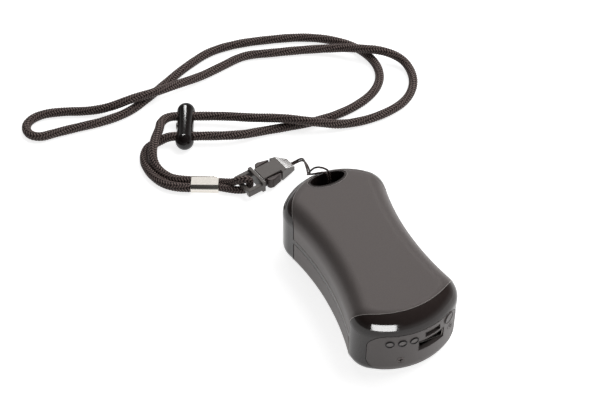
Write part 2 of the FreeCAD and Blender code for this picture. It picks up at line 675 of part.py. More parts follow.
def bight_points():
    """The cord's loop from the ferrule over the buckle's bar and back under it."""
    turn = math.radians(FERRULE_HEADING)
    face = FERRULE_START + V(math.cos(turn), math.sin(turn), 0) * FERRULE_LENGTH
    lead = V(math.cos(turn), math.sin(turn), 0) * (2 * BIGHT_RADIUS)
    rise = BAR_THICK / 2 + BIGHT_RADIUS + FIT_GAP
    head = math.radians(BUCKLE_HEADING)
    ahead = V(math.cos(head), math.sin(head), 0)
    bar = BUCKLE_START
    clear = BAR_THICK / 2 + BIGHT_STANDOFF
    inside = BAR_THICK / 2 + BIGHT_RADIUS + BIGHT_SLACK
    side = V(-math.sin(turn), math.cos(turn), 0) * (BIGHT_RADIUS + FIT_GAP)
    near = side * BIGHT_NARROWING
    up = V(0, 0, rise)
    return [
        tuple(face + side),
        tuple(face + side + lead),
        tuple(bar - ahead * clear + up + near),
        tuple(bar + ahead * inside + up),
        tuple(bar + ahead * inside - up),
        tuple(bar - ahead * clear - up - near),
        tuple(face - side + lead),
        tuple(face - side),
    ]


def main():
    os.makedirs("parts", exist_ok=True)
    front, rear, frame, plate, eyelet, outer = make_case()
    frame = frame.fuse(make_bosses(outer)).removeSplitter()
    rear = rear.fuse(make_board_post()).removeSplitter()

    lights = []
    leds = []
    for i in range(LIGHT_COUNT):
        x = LIGHT_FIRST_X + i * LIGHT_PITCH
        plate = plate.cut(on_end(rod(LIGHT_RADIUS + FIT_GAP, -2 * WALL, WALL), x, LIGHT_HEIGHT))
        lights.append(on_end(rod(LIGHT_RADIUS, -WALL, LIGHT_PROUD), x, LIGHT_HEIGHT))
        led_low = BOARD_BOTTOM + BOARD_THICK
        back = -WALL - BOARD_EDGE_GAP - LED_DEPTH - FIT_GAP
        led = box(-LED_WIDTH / 2, LED_WIDTH / 2, 0, LED_HEIGHT, back, back + LED_DEPTH)
        leds.append(on_end(led, x, led_low))

    screws = []
    for x, z in SCREW_PLACES:
        sunk = SCREW_HEAD_HEIGHT + 2 * FIT_GAP
        plate = plate.cut(on_end(rod(SCREW_HEAD_RADIUS + FIT_GAP, -sunk, WALL), x, z))
        plate = plate.cut(on_end(rod(SCREW_RADIUS + FIT_GAP, -2 * WALL, 0), x, z))
        driven = screw(SCREW_LENGTH)
        driven.translate(V(0, 0, -2 * FIT_GAP))
        screws.append(on_end(driven, x, z))

    usb_low = BOARD_BOTTOM - USB_A_HEIGHT
    micro_low = BOARD_BOTTOM + BOARD_THICK
    gap = BUTTON_GAP
    for x, width, low, height in (
        (USB_A_X, USB_A_WIDTH, usb_low, USB_A_HEIGHT),
        (MICRO_X, MICRO_WIDTH, micro_low, MICRO_HEIGHT),
    ):
        half = width / 2 + gap
        mouth = box(x - half, x + half, -LENGTH, BOARD_BACK_Y, low - gap, low + height + gap)
        plate = plate.cut(mouth)
    button_hole = rod(BUTTON_RADIUS + BUTTON_GAP, -2 * WALL, 2 * WALL)
    plate = plate.cut(on_end(button_hole, BUTTON_X, BUTTON_HEIGHT))

    save("front_cover", front)
    save("rear_cover", rear)
    save("case_frame", frame)
    save("end_plate", plate)
    save("lanyard_eyelet", eyelet)
    save("light_windows", Part.makeCompound(lights))
    save("status_leds", Part.makeCompound(leds))
    save("end_plate_screws", Part.makeCompound(screws))
    save("power_button", on_end(make_button(), BUTTON_X, BUTTON_HEIGHT))
    save("power_switch", on_end(make_switch(), BUTTON_X, BUTTON_HEIGHT))

    save("circuit_board", make_board())
    board_screw = screw(BOARD_SCREW_LENGTH)
    board_screw.translate(V(BOARD_SCREW_X, BOARD_SCREW_Y, BOARD_BOTTOM + BOARD_THICK + SCREW_HEAD_HEIGHT))
    save("board_screw", board_screw)
    usb_a_y = SOCKET_END_Y + USB_A_SETBACK
    usb_a = (USB_A_X, usb_low, usb_a_y, USB_A_WIDTH, USB_A_HEIGHT, USB_A_DEPTH)
    save("usb_a_shell", usb_shell(*usb_a))
    save("usb_a_tongue", usb_core(*usb_a, USB_A_TONGUE_WIDTH, USB_A_TONGUE_THICK, TONGUE_SETBACK))
    micro_y = SOCKET_END_Y + MICRO_SETBACK
    micro = (MICRO_X, micro_low, micro_y, MICRO_WIDTH, MICRO_HEIGHT, MICRO_DEPTH)
    save("micro_usb_shell", usb_shell(*micro))
    save("micro_usb_tongue", usb_core(*micro, MICRO_TONGUE_WIDTH, MICRO_TONGUE_THICK, TONGUE_SETBACK))
    board_top = BOARD_BOTTOM + BOARD_THICK
    chip = Part.makeBox(CHIP_SIZE, CHIP_SIZE, CHIP_THICK)
    chip.translate(V(CHIP_X - CHIP_SIZE / 2, SOCKET_END_Y + CHIP_FROM_END - CHIP_SIZE / 2, board_top))
    save("control_chip", chip)
    coil = Part.makeBox(COIL_SIZE, COIL_SIZE, COIL_THICK)
    coil_y = SOCKET_END_Y + COIL_FROM_END
    coil.translate(V(COIL_X - COIL_SIZE / 2, coil_y - COIL_SIZE / 2, BOARD_BOTTOM - COIL_THICK))
    save("boost_coil", coil)

    save("cell_left", make_cell(-CELL_SPACING / 2))
    save("cell_right", make_cell(CELL_SPACING / 2))
    save("cell_collar_front", make_collar(FRONT_COLLAR_Y))
    save("cell_collar_back", make_collar(BACK_COLLAR_Y))
    low = CELL_HEIGHT - STRIP_TALL / 2
    high = CELL_HEIGHT + STRIP_TALL / 2
    wide = STRIP_WIDTH / 2
    save("positive_strip", box(-wide, wide, CELL_BACK_Y, CELL_BACK_Y + STRIP_SHEET, low, high))
    strip = box(-wide, wide, CELL_FRONT_Y - STRIP_SHEET, CELL_FRONT_Y, low, high)
    half = TAB_WIDTH / 2
    tab_front = CELL_FRONT_Y - TAB_REACH
    tab = box(-half, half, tab_front, CELL_FRONT_Y, BOARD_BOTTOM - STRIP_SHEET, BOARD_BOTTOM)
    save("negative_strip", strip.fuse(tab).removeSplitter())

    front_film = THICKNESS - WALL - FILM_THICK
    cell_top = CELL_HEIGHT + CELL_RADIUS
    cell_bottom = CELL_HEIGHT - CELL_RADIUS
    for name, film_low, pad_low, pad_high, lead_z, end_z in (
        ("front", front_film, cell_top + FIT_GAP, front_film, front_film - LEAD_RADIUS, board_top),
        ("rear", WALL, WALL + FILM_THICK, cell_bottom - FIT_GAP,
         WALL + FILM_THICK + LEAD_RADIUS, BOARD_BOTTOM),
    ):
        film_high = film_low + FILM_THICK
        half = FILM_WIDTH / 2
        save("heating_film_" + name, box(-half, half, FILM_FRONT_Y, FILM_BACK_Y, film_low, film_high))
        pads = []
        for x in (-PAD_GAP / 2 - PAD_WIDTH, PAD_GAP / 2):
            pads.append(box(x, x + PAD_WIDTH, PAD_FRONT_Y, PAD_BACK_Y, pad_low, pad_high))
        save("foam_pads_" + name, Part.makeCompound(pads))
        leads = []
        start_y = FILM_FRONT_Y + 2 * LEAD_RADIUS
        lead_y = SOCKET_END_Y + LEAD_FROM_END
        for x in LEAD_XS:
            points = [(x, start_y, lead_z), (x, lead_y, lead_z), (x, lead_y, end_z)]
            leads.append(cord_tube(points, LEAD_RADIUS, "heater lead " + name))
        save("heater_leads_" + name, Part.makeCompound(leads))
    start = V(-SENSOR_LENGTH / 2, FILM_BACK_Y - SENSOR_FROM_FILM_END, front_film - SENSOR_RADIUS)
    save("temperature_sensor", Part.makeCylinder(SENSOR_RADIUS, SENSOR_LENGTH, start, V(1, 0, 0)))
    back_y = CELL_BACK_Y + STRIP_SHEET + BATTERY_LEAD_RADIUS
    end_y = SOCKET_END_Y + BATTERY_LEAD_FROM_END
    lead_z = cell_top + BATTERY_LEAD_ABOVE_CELL
    lead = [(0, back_y, CELL_HEIGHT), (0, back_y, lead_z), (0, end_y, lead_z), (0, end_y, board_top)]
    save("battery_lead", cord_tube(lead, BATTERY_LEAD_RADIUS, "battery lead"))

    save("neck_cord", cord_tube(CORD_POINTS, CORD_RADIUS, "neck cord"))
    save("cord_ferrule", placed(make_ferrule(), FERRULE_START, FERRULE_HEADING))
    save("cord_slider", placed(make_slider(), SLIDER_CENTRE, SLIDER_HEADING))
    save("cord_bight", cord_tube(bight_points(), BIGHT_RADIUS, "cord bight"))
    save("buckle_plug", placed(make_plug(), BUCKLE_START, BUCKLE_HEADING))
    save("buckle_socket", placed(make_socket(), BUCKLE_START, BUCKLE_HEADING))
    save("buckle_prong_left", placed(make_prong(1), BUCKLE_START, BUCKLE_HEADING))
    save("buckle_prong_right", placed(make_prong(-1), BUCKLE_START, BUCKLE_HEADING))
    save("tether_string", cord_tube(STRING_POINTS, STRING_RADIUS, "tether string"))


main()
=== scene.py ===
# %% [markdown]
# A rechargeable hand warmer on its neck lanyard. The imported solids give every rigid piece
# its place. This file adds what solids leave out: finishes, braid, rounded edges and light.

# %% Frame
import math

import bmesh
import bpy
import numpy as np
from mathutils import Matrix, Vector
from mathutils.bvhtree import BVHTree


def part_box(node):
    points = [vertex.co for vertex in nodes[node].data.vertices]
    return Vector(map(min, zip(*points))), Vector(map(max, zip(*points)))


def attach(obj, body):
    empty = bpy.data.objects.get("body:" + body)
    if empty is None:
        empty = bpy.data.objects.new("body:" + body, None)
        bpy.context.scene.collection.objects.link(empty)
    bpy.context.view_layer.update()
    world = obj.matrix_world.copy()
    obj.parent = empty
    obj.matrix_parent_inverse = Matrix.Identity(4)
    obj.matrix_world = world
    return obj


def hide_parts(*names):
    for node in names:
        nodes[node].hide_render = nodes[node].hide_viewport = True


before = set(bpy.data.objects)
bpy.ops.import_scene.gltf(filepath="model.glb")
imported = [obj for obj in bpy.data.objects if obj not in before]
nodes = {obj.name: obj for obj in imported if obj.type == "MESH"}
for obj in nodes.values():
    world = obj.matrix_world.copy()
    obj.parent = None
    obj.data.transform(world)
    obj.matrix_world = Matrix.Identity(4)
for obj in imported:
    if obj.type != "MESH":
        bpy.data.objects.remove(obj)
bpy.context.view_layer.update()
scene = bpy.context.scene
MM = 0.001
print("frame:", len(nodes), "nodes")

# %% [markdown]
# The camera stands as in the photograph: to the left of the socket end, looking down at the
# case from a little over half a right angle, with a short telephoto lens.

# %% Camera
CAMERA_AZIMUTH = math.radians(-25.0)
CAMERA_ELEVATION = math.radians(46.819)
CAMERA_DISTANCE = 0.700
CAMERA_TARGET = Vector((-0.003995, 0.061458, 0.0))
SENSOR_MM = 36.0
LENS_MM = 87.46


def placed(name, data):
    """A new object at the origin, in the scene."""
    holder = bpy.data.objects.new(name, data)
    scene.collection.objects.link(holder)
    return holder


camera_back = Vector((
    math.sin(CAMERA_AZIMUTH) * math.cos(CAMERA_ELEVATION),
    -math.cos(CAMERA_AZIMUTH) * math.cos(CAMERA_ELEVATION),
    math.sin(CAMERA_ELEVATION),
))
camera_data = bpy.data.cameras.new("camera")
camera_data.sensor_width = SENSOR_MM
camera_data.lens = LENS_MM
camera = placed("camera", camera_data)
camera.location = CAMERA_TARGET + camera_back * CAMERA_DISTANCE
camera.rotation_euler = (-camera_back).to_track_quat("-Z", "Y").to_euler()
scene.camera = camera
print("camera at", [round(c, 4) for c in camera.location])

# %% [markdown]
# Four helpers serve every finish. The first turns a written sRGB colour into the linear
# values that shaders use, and the second adds a node with its settings, values and links in
# one call. The others make a material, plain or with a grain. One noise drives the grain's
# colour, roughness and bump together, which keeps the three in step.

# %% Shader helpers
GRAIN_DETAIL = 3.0


def linear(hex_colour):
    """Linear RGBA of an sRGB hex colour, by the curve of the sRGB standard."""
    shares = [int(hex_colour[i:i + 2], 16) / 255 for i in (1, 3, 5)]
    return [c / 12.92 if c <= 0.04045 else ((c + 0.055) / 1.055) ** 2.4 for c in shares] + [1.0]


def add(tree, kind, settings=(), values=(), links=()):
    """Adds a node. Settings are its properties, values fill sockets and links feed them."""
    node = tree.nodes.new(kind)
    for name, value in dict(settings).items():
        setattr(node, name, value)
    for name, value in dict(values).items():
        node.inputs[name].default_value = value
    for name, source in dict(links).items():
        tree.links.new(source, node.inputs[name])
    return node


def new_finish(name, colour, roughness, sockets=()):
    """A material with one shader, and that shader's tree."""
    material = bpy.data.materials.new(name)
    material.use_nodes = True
    tree = material.node_tree
    shader = tree.nodes["Principled BSDF"]
    shader.inputs["Base Color"].default_value = linear(colour)
    shader.inputs["Roughness"].default_value = roughness
    for socket, value in dict(sockets).items():
        shader.inputs[socket].default_value = value
    return material, tree, shader


def grained_finish(name, colour, roughness, sockets, grain_mm, depth_mm, dark, light, low_rough, high_rough):
    """A material with a fine uneven grain in its colour, its roughness and its bump."""
    material, tree, shader = new_finish(name, colour, roughness, sockets)
    place = add(tree, "ShaderNodeTexCoord")
    noise = add(
        tree, "ShaderNodeTexNoise",
        values={"Scale": 1 / (grain_mm * MM), "Detail": GRAIN_DETAIL},
        links={"Vector": place.outputs["Object"]},
    )
    colours = add(tree, "ShaderNodeValToRGB", links={"Fac": noise.outputs["Fac"]})
    colours.color_ramp.elements[0].color = linear(dark)
    colours.color_ramp.elements[1].color = linear(light)
    rough = add(
        tree, "ShaderNodeMapRange",
        values={"To Min": low_rough, "To Max": high_rough},
        links={"Value": noise.outputs["Fac"]},
    )
    bump = add(
        tree, "ShaderNodeBump",
        values={"Strength": 1.0, "Distance": depth_mm * MM},
        links={"Height": noise.outputs["Fac"]},
    )
    tree.links.new(colours.outputs["Color"], shader.inputs["Base Color"])
    tree.links.new(rough.outputs["Result"], shader.inputs["Roughness"])
    tree.links.new(bump.outputs["Normal"], shader.inputs["Normal"])
    return material


# %% [markdown]
# The covers are anodised aluminium, blasted with fine beads before the dye. Blasting leaves
# pits of a few hundredths of a millimetre, which spread a reflection into a broad satin
# sheen. Here they are drawn a few times larger, because at true size no render shows them.
# Their rims take a paler, shinier colour: a painted highlight for the thin line of light
# that a rounded edge catches.

# %% Anodised covers
satin_anodised = grained_finish(
    "blasted_anodised_aluminium", "#6b6462", 0.42, {"Metallic": 0.25},
    grain_mm=0.45, depth_mm=0.004, dark="#635c5a", light="#736c6a", low_rough=0.38, high_rough=0.48,
)
pale_edge_highlight = grained_finish(
    "aluminium_edge_painted_highlight", "#a39d9a", 0.3, {"Metallic": 0.4},
    grain_mm=0.45, depth_mm=0.002, dark="#9a9491", light="#aca6a3", low_rough=0.26, high_rough=0.36,
)
print("covers:", satin_anodised.name, "with", pale_edge_highlight.name)

# %% [markdown]
# The frame and the eyelet are moulded ABS from a polished tool: black, and glossy enough to
# show the lamps as clear shapes. A slow ripple in the gloss is what moulding leaves. The end
# plate and the button come from a textured tool, which gives a grey satin. The slider is
# blacker and a little less glossy than the frame, and the tongues of the sockets are matte.

# %% Polished, satin and matte ABS
polished_abs = grained_finish(
    "polished_black_abs", "#332a28", 0.1, {"IOR": 1.46},
    grain_mm=3.0, depth_mm=0.002, dark="#302725", light="#362d2b", low_rough=0.07, high_rough=0.13,
)
satin_abs = grained_finish(
    "satin_grey_abs", "#6a6361", 0.4, {"IOR": 1.5},
    grain_mm=0.4, depth_mm=0.006, dark="#625b59", light="#726b69", low_rough=0.36, high_rough=0.46,
)
slider_abs = grained_finish(
    "satin_black_abs", "#1e1716", 0.18, {"IOR": 1.46},
    grain_mm=0.5, depth_mm=0.002, dark="#1a1413", light="#231b1a", low_rough=0.15, high_rough=0.22,
)
dark_abs = grained_finish(
    "matte_black_abs", "#1b1717", 0.55, {"IOR": 1.5},
    grain_mm=0.5, depth_mm=0.006, dark="#171313", light="#211c1c", low_rough=0.5, high_rough=0.6,
)
print("plastics:", polished_abs.name, satin_abs.name, slider_abs.name, dark_abs.name)

# %% [markdown]
# The buckle is acetal, a slippery grey plastic that comes out of the tool half glossy. The
# two prongs are darker and rougher, so that fingers hold on their wings.

# %% Acetal buckle
acetal = grained_finish(
    "moulded_acetal", "#69635f", 0.3, {"IOR": 1.48},
    grain_mm=0.8, depth_mm=0.001, dark="#625c58", light="#706a66", low_rough=0.26, high_rough=0.38,
)
grip_acetal = grained_finish(
    "textured_acetal", "#4f4442", 0.5, {"IOR": 1.48},
    grain_mm=0.4, depth_mm=0.01, dark="#463b39", light="#594d4b", low_rough=0.45, high_rough=0.58,
)
print("buckle:", acetal.name, "and", grip_acetal.name)

# %% [markdown]
# Metals: a bright nickel sleeve, plain plated steel for the socket shells, blackened steel
# for the screws, and the gold flash of the sockets' contacts. A metal takes its colour from
# what it mirrors, so Metallic is 1. The black oxide on the screws hides half of the metal.

# %% Nickel, steel and contact gold
bright_nickel = grained_finish(
    "bright_nickel_plate", "#d9d4cc", 0.16, {"Metallic": 1.0},
    grain_mm=1.2, depth_mm=0.0006, dark="#cfcac2", light="#e2ddd6", low_rough=0.1, high_rough=0.2,
)
plated_steel = grained_finish(
    "plated_steel", "#b4b0ac", 0.3, {"Metallic": 1.0},
    grain_mm=0.6, depth_mm=0.003, dark="#aaa6a2", light="#beb9b5", low_rough=0.25, high_rough=0.38,
)
blackened_steel = grained_finish(
    "blackened_steel", "#5f5856", 0.35, {"Metallic": 0.5},
    grain_mm=0.6, depth_mm=0.003, dark="#57504e", light="#67605e", low_rough=0.3, high_rough=0.42,
)
contact_gold = grained_finish(
    "contact_gold", "#c9a45a", 0.25, {"Metallic": 1.0},
    grain_mm=0.5, depth_mm=0.002, dark="#be9a52", light="#d2ae64", low_rough=0.2, high_rough=0.32,
)
print("metals:", bright_nickel.name, plated_steel.name, blackened_steel.name, contact_gold.name)

# %% [markdown]
# Small clear and coloured pieces: the frosted light windows, and what lies sealed in the
# case. The sealed pieces differ in little but colour, so one loop makes their finishes.

# %% Windows and inner pieces
INNER_GRAIN_MM = 0.8
INNER_DEPTH_MM = 0.004
INNER_ROUGH_SPREAD = 0.08

frosted_lens = grained_finish(
    "frosted_lens", "#8b8482", 0.3, {"IOR": 1.49},
    grain_mm=0.5, depth_mm=0.004, dark="#827b79", light="#958e8c", low_rough=0.25, high_rough=0.36,
)
# Dark and light colour, roughness and metallic of each
INNER_FINISHES = {
    "lamp_white": ("#dad8d0", "#e6e4dc", 0.35, 0.0),
    "board_green": ("#0f4a26", "#17592f", 0.4, 0.0),
    "cell_sleeve": ("#27507c", "#2f5a88", 0.35, 0.0),
    "film_amber": ("#a8672a", "#b87636", 0.3, 0.0),
    "foam": ("#3a3a3a", "#464646", 0.9, 0.0),
    "lead_rubber": ("#7c1d18", "#8a2620", 0.5, 0.0),
    "nickel_strip": ("#a8a59e", "#b6b3ac", 0.3, 1.0),
}
inner = {}
for slot_name, (dark, light, rough, metallic) in INNER_FINISHES.items():
    inner[slot_name] = grained_finish(
        slot_name, dark, rough, {"Metallic": metallic},
        grain_mm=INNER_GRAIN_MM, depth_mm=INNER_DEPTH_MM, dark=dark, light=light,
        low_rough=rough, high_rough=rough + INNER_ROUGH_SPREAD,
    )
print("finishes:", len(bpy.data.materials))

# %% [markdown]
# The cord is a polyester braid: eight columns of slanted stitches, leaning left and right in
# turn, so that two neighbours make a row of V shapes. The height of each stitch is kept on
# the mesh as an attribute, and the colour follows it, with painted shade in the grooves and
# a painted highlight on the tops.

# %% Polyester braid
FUZZ_MM = 0.5
FUZZ_DETAIL = 4.0
FUZZ_SHARE = 0.3
FIBRE_DEPTH_MM = 0.03
GROOVE_LEVEL = 0.3
TOP_LEVEL = 1.0

polyester, tree, shader = new_finish("polyester_braid", "#2b2220", 0.6, {"Specular IOR Level": 0.3})
stitch = add(tree, "ShaderNodeAttribute", {"attribute_name": "stitch"})
fuzz_place = add(tree, "ShaderNodeTexCoord")
fuzz = add(
    tree, "ShaderNodeTexNoise",
    values={"Scale": 1 / (FUZZ_MM * MM), "Detail": FUZZ_DETAIL},
    links={"Vector": fuzz_place.outputs["Object"]},
)
shade_and_fuzz = add(
    tree, "ShaderNodeMath", {"operation": "MULTIPLY_ADD"}, {1: FUZZ_SHARE},
    {0: fuzz.outputs["Fac"], 2: stitch.outputs["Fac"]},
)
# The ramp paints shade into the grooves and a highlight onto the stitch tops.
yarn_colour_and_shade = add(tree, "ShaderNodeValToRGB", links={"Fac": shade_and_fuzz.outputs["Value"]})
groove, top = yarn_colour_and_shade.color_ramp.elements
groove.color = linear("#150a09")
groove.position = GROOVE_LEVEL
top.color = linear("#968580")
top.position = TOP_LEVEL
fibre = add(
    tree, "ShaderNodeBump", values={"Strength": 1.0, "Distance": FIBRE_DEPTH_MM * MM},
    links={"Height": fuzz.outputs["Fac"]},
)
tree.links.new(yarn_colour_and_shade.outputs["Color"], shader.inputs["Base Color"])
tree.links.new(fibre.outputs["Normal"], shader.inputs["Normal"])
print("cord:", polyester.name)

# %% [markdown]
# Each rigid solid keeps its own shape and takes the finish of its real material. One mapping
# from piece to finish says so in one place, and a loop assigns it.

# %% Finishes for the solids
NODE_FINISHES = {
    "front_cover": satin_anodised, "rear_cover": satin_anodised,
    "case_frame": polished_abs, "lanyard_eyelet": polished_abs, "cord_slider": slider_abs,
    "end_plate": satin_abs, "power_button": satin_abs, "light_windows": frosted_lens,
    "end_plate_screws": blackened_steel, "board_screw": plated_steel,
    "usb_a_shell": plated_steel, "micro_usb_shell": plated_steel,
    "usb_a_tongue": dark_abs, "micro_usb_tongue": dark_abs, "power_switch": dark_abs,
    "control_chip": dark_abs, "boost_coil": dark_abs,
    "cell_collar_front": dark_abs, "cell_collar_back": dark_abs,
    "status_leds": inner["lamp_white"], "temperature_sensor": inner["lamp_white"],
    "circuit_board": inner["board_green"],
    "cell_left": inner["cell_sleeve"], "cell_right": inner["cell_sleeve"],
    "positive_strip": inner["nickel_strip"], "negative_strip": inner["nickel_strip"],
    "heating_film_front": inner["film_amber"], "heating_film_rear": inner["film_amber"],
    "foam_pads_front": inner["foam"], "foam_pads_rear": inner["foam"],
    "heater_leads_front": inner["lead_rubber"], "heater_leads_rear": inner["lead_rubber"],
    "battery_lead": inner["lead_rubber"],
}
for name, material in NODE_FINISHES.items():
    nodes[name].data.materials.clear()
    nodes[name].data.materials.append(material)
print("dressed solids:", len(NODE_FINISHES))

# %% [markdown]
# A cord's line is a NURBS spline with given control points, which it follows without
# a kink. Its order is set after the points are there. A mesh made from the bare spline gives
# the line's points, which are spaced evenly and then carry a tube. A bevelled curve would be
# shorter to write, but its rings couldn't carry a braid.

# %% Cord helpers
SPLINE_STEPS = 24
SPLINE_ORDER = 3


def made_mesh(holder):
    """Plain mesh of an object as it is seen, with its modifiers or its spline worked out."""
    seen = holder.evaluated_get(bpy.context.evaluated_depsgraph_get())
    return bpy.data.meshes.new_from_object(seen)


def smooth_line(points_mm):
    """Points along a NURBS spline with these control points, in metres."""
    curve = bpy.data.curves.new("route", "CURVE")
    curve.dimensions = "3D"
    curve.resolution_u = SPLINE_STEPS
    spline = curve.splines.new("NURBS")
    spline.points.add(len(points_mm) - 1)
    for control, point in zip(spline.points, points_mm):
        control.co = [c * MM for c in point] + [1.0]
    spline.order_u = SPLINE_ORDER
    spline.use_endpoint_u = True
    spline.resolution_u = SPLINE_STEPS
    route = placed("route", curve)
    mesh = made_mesh(route)
    line = np.array([v.co for v in mesh.vertices])
    bpy.data.objects.remove(route)
    bpy.data.curves.remove(curve)
    bpy.data.meshes.remove(mesh)
    return line


def even_line(line, step):
    """The same line with points a step apart, and the distance along it of each."""
    legs = np.linalg.norm(np.diff(line, axis=0), axis=1)
    along = np.concatenate([[0.0], np.cumsum(legs)])
    places = np.linspace(0.0, along[-1], int(round(along[-1] / step)) + 1)
    return np.column_stack([np.interp(places, along, line[:, i]) for i in range(3)]), places


def line_length(line):
    """Length of a line of points, in metres."""
    return float(np.linalg.norm(np.diff(line, axis=0), axis=1).sum())


def ring_frames(line):
    """Two directions square to the line at each point, carried along without twist."""
    ways = np.gradient(line, axis=0)
    ways /= np.linalg.norm(ways, axis=1)[:, None]
    side = np.cross(ways[0], (0.0, 0.0, 1.0))
    side /= np.linalg.norm(side)
    sides = []
    for way in ways:
        side = side - way * np.dot(side, way)
        side /= np.linalg.norm(side)
        sides.append(side)
    sides = np.array(sides)
    return sides, np.cross(ways, sides)


# %% [markdown]
# A tube is rings of points with faces between them, closed at both ends. Each point has its
# own radius, so the same code makes a braid and a strand with plies. The metal sleeve further
# on works out its own rings and takes its faces from here.

# %% Tube helpers


def new_piece(name, vertices, faces, material):
    """A mesh object at the origin, smooth shaded, with one finish."""
    mesh = bpy.data.meshes.new(name)
    mesh.from_pydata([tuple(v) for v in vertices], [], faces)
    mesh.materials.append(material)
    mesh.shade_smooth()
    return placed(name, mesh)


def skin(rings, around):
    """Faces between rings of points, closed at both ends."""
    faces = []
    for i in range(rings - 1):
        for j in range(around):
            k = (j + 1) % around
            faces.append((i * around + j, i * around + k, (i + 1) * around + k, (i + 1) * around + j))
    faces.append(tuple(reversed(range(around))))
    faces.append(tuple((rings - 1) * around + j for j in range(around)))
    return faces


def tube_points(line, radii):
    """Points of a tube's rings along a line. Radii holds one row for each ring."""
    around = radii.shape[1]
    sides, ups = ring_frames(line)
    turns = np.arange(around) * 2 * math.pi / around
    out = sides[:, None] * np.cos(turns)[:, None] + ups[:, None] * np.sin(turns)[:, None]
    return (line[:, None] + out * radii[:, :, None]).reshape(-1, 3)


# %% [markdown]
# The braid is real relief on the tube: columns with a groove between them, and stitches that
# lean one way in even columns and the other way in odd ones. The columns turn slowly around
# the cord, as a braid does that has been handled. A bump map would be lighter, but it leaves
# the outline smooth, and a braid's outline is a row of small steps.

# %% Braid helper
BRAID_COLUMNS = 8
BRAID_AROUND = 32
BRAID_STEP = 0.29 * MM
STITCH_PITCH = 1.35 * MM
STITCH_SLANT = 0.9
TWIST_LENGTH = 90 * MM
GROOVE_POWER = 0.5


def braided_cord(name, line, radius, relief):
    """Tube with braid relief and the stitch height as an attribute."""
    points, along = even_line(line, BRAID_STEP)
    share = np.arange(BRAID_AROUND) / BRAID_AROUND
    column = (share[None, :] + along[:, None] / TWIST_LENGTH) * BRAID_COLUMNS
    place = column - np.floor(column) - 0.5
    lean = np.where(np.floor(column) % 2 == 0, 1.0, -1.0)
    wave = np.cos(2 * math.pi * (along[:, None] / STITCH_PITCH + lean * place * STITCH_SLANT))
    height = (0.5 + 0.5 * wave) * np.cos(math.pi * place) ** GROOVE_POWER
    radii = radius - relief * (1.0 - height)
    piece = new_piece(name, tube_points(points, radii), skin(*radii.shape), polyester)
    stitches = piece.data.attributes.new("stitch", "FLOAT", "POINT")
    stitches.data.foreach_set("value", height.astype(np.float32).ravel())
    return piece, points


# %% [markdown]
# The neck cord lies on the table. Its ends meet in the ferrule, and in between it passes
# through both bores of the slider, round the far bend and back. The points are the route
# of its solid, with one more on each straight run through the slider, and with three moved
# in by under a millimetre, so that the two cords touch where they bend to the ferrule.

# %% Neck cord
CORD_RADIUS = 2.38 * MM
CORD_RELIEF = 0.3 * MM
CORD_POINTS = [
    (-46.485, 95.076, 2.6), (-53.619, 98.586, 2.6), (-58.0, 105.4, 3.2), (-59.3, 112.0, 4.6),
    (-57.6, 118.2, 7.3), (-53.6, 124.2, 7.9), (-49.2, 129.6, 7.9), (-46.3, 136.1, 6.0),
    (-40.528, 139.476, 4.8), (-34.7, 136.881, 4.8), (-16.228, 128.656, 4.8), (-2.6, 119.4, 5.9),
    (9.2, 111.8, 7.6), (16.8, 106.6, 7.6), (25.8, 102.6, 5.8), (36.0, 99.4, 2.8),
    (49.0, 97.2, 2.4), (62.0, 97.6, 2.4), (75.0, 101.6, 2.4), (84.6, 111.0, 2.4),
    (88.2, 122.4, 2.6), (86.2, 130.6, 4.6), (78.4, 136.4, 7.6), (70.2, 141.6, 7.6),
    (62.6, 149.4, 5.0), (52.0, 156.2, 2.8), (40.0, 160.8, 2.4), (27.0, 164.6, 2.4),
    (13.0, 169.0, 2.4), (-1.0, 165.6, 2.4), (-13.0, 162.6, 2.9), (-27.4, 159.6, 5.2),
    (-43.2, 156.4, 7.6), (-54.4, 156.8, 7.6), (-64.8, 158.4, 4.8), (-75.0, 162.6, 2.4),
    (-88.0, 168.4, 2.4), (-98.5, 170.8, 2.4), (-106.4, 168.0, 2.4), (-108.8, 161.0, 2.4),
    (-104.4, 155.0, 2.4), (-96.0, 154.8, 2.4), (-84.0, 153.8, 2.4), (-70.0, 152.2, 2.4),
    (-57.0, 153.4, 2.4), (-45.0, 158.8, 2.4), (-31.0, 166.4, 2.4), (-16.0, 174.2, 2.4),
    (-1.0, 179.6, 2.4), (15.0, 178.8, 2.4), (31.0, 174.8, 2.4), (47.0, 169.6, 2.4),
    (60.0, 161.6, 2.4), (69.6, 150.8, 2.4), (73.8, 138.6, 2.4), (72.6, 126.4, 2.4),
    (66.6, 117.2, 2.4), (56.0, 110.6, 2.4), (42.0, 107.2, 2.4), (27.0, 107.0, 2.4),
    (12.0, 109.6, 2.4), (-2.0, 112.4, 2.4), (-14.319, 112.044, 4.8), (-39.7, 123.344, 4.8),
    (-45.928, 126.117, 4.8), (-52.0, 127.0, 2.4), (-58.6, 125.0, 2.4), (-62.6, 117.8, 2.4),
    (-62.9, 108.8, 2.4), (-60.6, 101.1, 2.4), (-55.738, 94.278, 2.6), (-48.605, 90.768, 2.6),
]
neck_cord, neck_line = braided_cord("neck_cord_braid", smooth_line(CORD_POINTS), CORD_RADIUS, CORD_RELIEF)
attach(neck_cord, "case")
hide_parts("neck_cord")
print("neck cord: %.3f m" % line_length(neck_line))

# %% [markdown]
# From the ferrule the cord goes straight to the buckle's bar, over it and back under it,
# pulled a little thinner.

